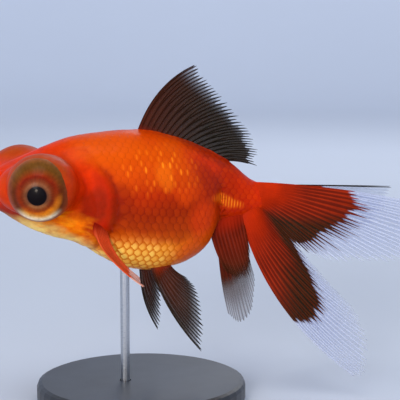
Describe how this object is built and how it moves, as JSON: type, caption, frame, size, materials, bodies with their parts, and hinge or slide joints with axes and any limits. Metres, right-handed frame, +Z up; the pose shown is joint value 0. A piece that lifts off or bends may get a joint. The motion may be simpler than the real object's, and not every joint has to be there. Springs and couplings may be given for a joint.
{
  "type": "telescope goldfish model",
  "caption": "Life-size still model of a red telescope goldfish with protruding eyes, deep round belly and long twin tail, held level by a slim rod on a round base.",
  "frame": {"origin": "centre of the model's box, on the floor under the stand's base", "axes": "the fish faces -X, its left side is -Y, +Z up"},
  "size_m": [0.1152, 0.05, 0.0803],
  "materials": {
    "skin": "wet orange-red scaled skin",
    "eye": "clear wet eye, gold ring round a black pupil",
    "dark_fin": "thin rayed membrane, brown-black",
    "brown_fin": "thin rayed membrane, red-brown",
    "red_fin": "thin rayed membrane, red going clear at the ends",
    "base": "satin black",
    "rod": "brushed"
  },
  "bodies": {
    "root": {"head": "skin", "trunk": "skin", "tail_base": "skin", "eye_left": "eye", "eye_right": "eye", "dorsal_fin": "dark_fin", "pectoral_fin_left": "red_fin", "pectoral_fin_right": "red_fin", "pelvic_fin_left": "dark_fin", "pelvic_fin_right": "dark_fin", "anal_fin_left": "brown_fin", "anal_fin_right": "brown_fin", "tail_fin_left_upper": "red_fin", "tail_fin_left_lower": "red_fin", "tail_fin_right_upper": "red_fin", "tail_fin_right_lower": "red_fin", "stand_base": "base", "stand_rod": "rod"}
  },
  "joints": []
}
